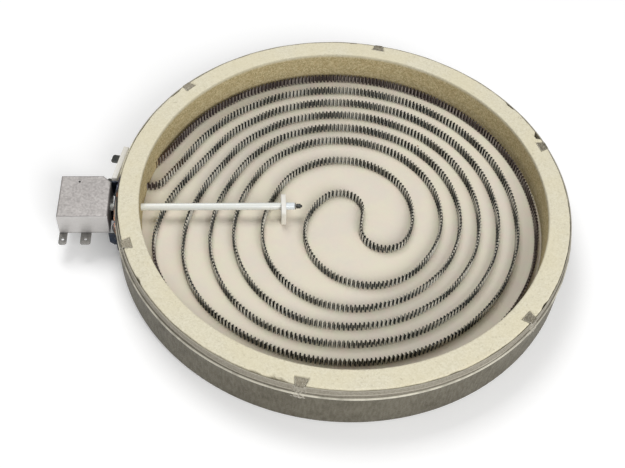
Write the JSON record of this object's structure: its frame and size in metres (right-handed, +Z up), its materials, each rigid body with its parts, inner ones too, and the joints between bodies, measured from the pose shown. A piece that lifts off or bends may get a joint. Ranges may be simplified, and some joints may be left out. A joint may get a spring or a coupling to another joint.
{
  "type": "radiant hob heating element",
  "caption": "Round radiant heater for a glass-ceramic hob: a spiral corrugated ribbon in an insulated steel dish, with a rod-type temperature limiter on its side.",
  "frame": {"origin": "centre of the steel dish's flat underside", "axes": "+Z up through the open face towards the glass, +X along the limiter's rod away from its switch head, +Y completes the right-handed set"},
  "size_m": [0.3124, 0.2786, 0.034],
  "materials": {
    "dish_steel": "aluminised sheet, dulled and stained khaki by heat",
    "insulation_cake": "pressed microporous insulation, matt, faintly pink and yellow",
    "vermiculite": "moulded vermiculite, granular, cream",
    "ribbon_alloy": "iron-chromium-aluminium strip, dark heat oxide",
    "steatite": "unglazed steatite ceramic",
    "tube_ceramic": "smooth white ceramic tube",
    "cover_steel": "satin sheet steel",
    "terminal_steel": "plated steel, slightly dulled",
    "oxidised_steel": "heat-blackened steel",
    "spring_bronze": "rolled spring bronze",
    "silver_alloy": "silver contact alloy"
  },
  "bodies": {
    "element": {"dish": "dish_steel", "base_insulation": "insulation_cake", "insulation_ring": "vermiculite", "heater_ribbon": "ribbon_alloy", "terminal_block": "steatite", "heater_terminal_1": "oxidised_steel", "heater_terminal_2": "oxidised_steel", "limiter_tube": "tube_ceramic", "standoff_plate": "steatite", "end_collar": "terminal_steel", "expansion_rod": "oxidised_steel", "rod_nut": "oxidised_steel", "limiter_base": "steatite", "limiter_cover": "cover_steel", "limiter_bracket": "oxidised_steel", "limiter_terminal_fixed": "terminal_steel", "limiter_terminal_spring": "terminal_steel", "signal_terminal_spring": "terminal_steel", "signal_terminal_fixed": "terminal_steel", "limiter_arm_rivet": "terminal_steel", "signal_arm_rivet": "terminal_steel", "limiter_fixed_contact": "silver_alloy", "signal_fixed_contact": "silver_alloy", "base_rivet_1": "terminal_steel", "base_rivet_2": "terminal_steel", "bracket_screw_1": "terminal_steel", "bracket_screw_2": "terminal_steel"},
    "plunger": {"plunger": "steatite"},
    "limiter_arm": {"limiter_contact_arm": "spring_bronze", "limiter_moving_contact": "silver_alloy"},
    "signal_arm": {"signal_contact_arm": "spring_bronze", "signal_moving_contact": "silver_alloy"}
  },
  "joints": [
    {"name": "plunger_stroke", "type": "slide", "parent": "element", "child": "plunger", "axis": [-1, 0, 0], "range_m": [0, 0.0008], "stiffness_N_per_m": 500},
    {"name": "limiter_arm_flex", "type": "hinge", "parent": "element", "child": "limiter_arm", "pos_m": [-0.15435, 0.011, 0.0205], "axis": [0, 0, -1], "range_deg": [0, 4.2]},
    {"name": "signal_arm_flex", "type": "hinge", "parent": "element", "child": "signal_arm", "pos_m": [-0.16035, -0.011, 0.0205], "axis": [0, 0, 1], "range_deg": [0, 4.2]}
  ],
  "couplings": [
    {"joint": "limiter_arm_flex", "follows": "plunger_stroke", "rad_per_m": 90.909},
    {"joint": "signal_arm_flex", "follows": "plunger_stroke", "rad_per_m": 90.909}
  ]
}
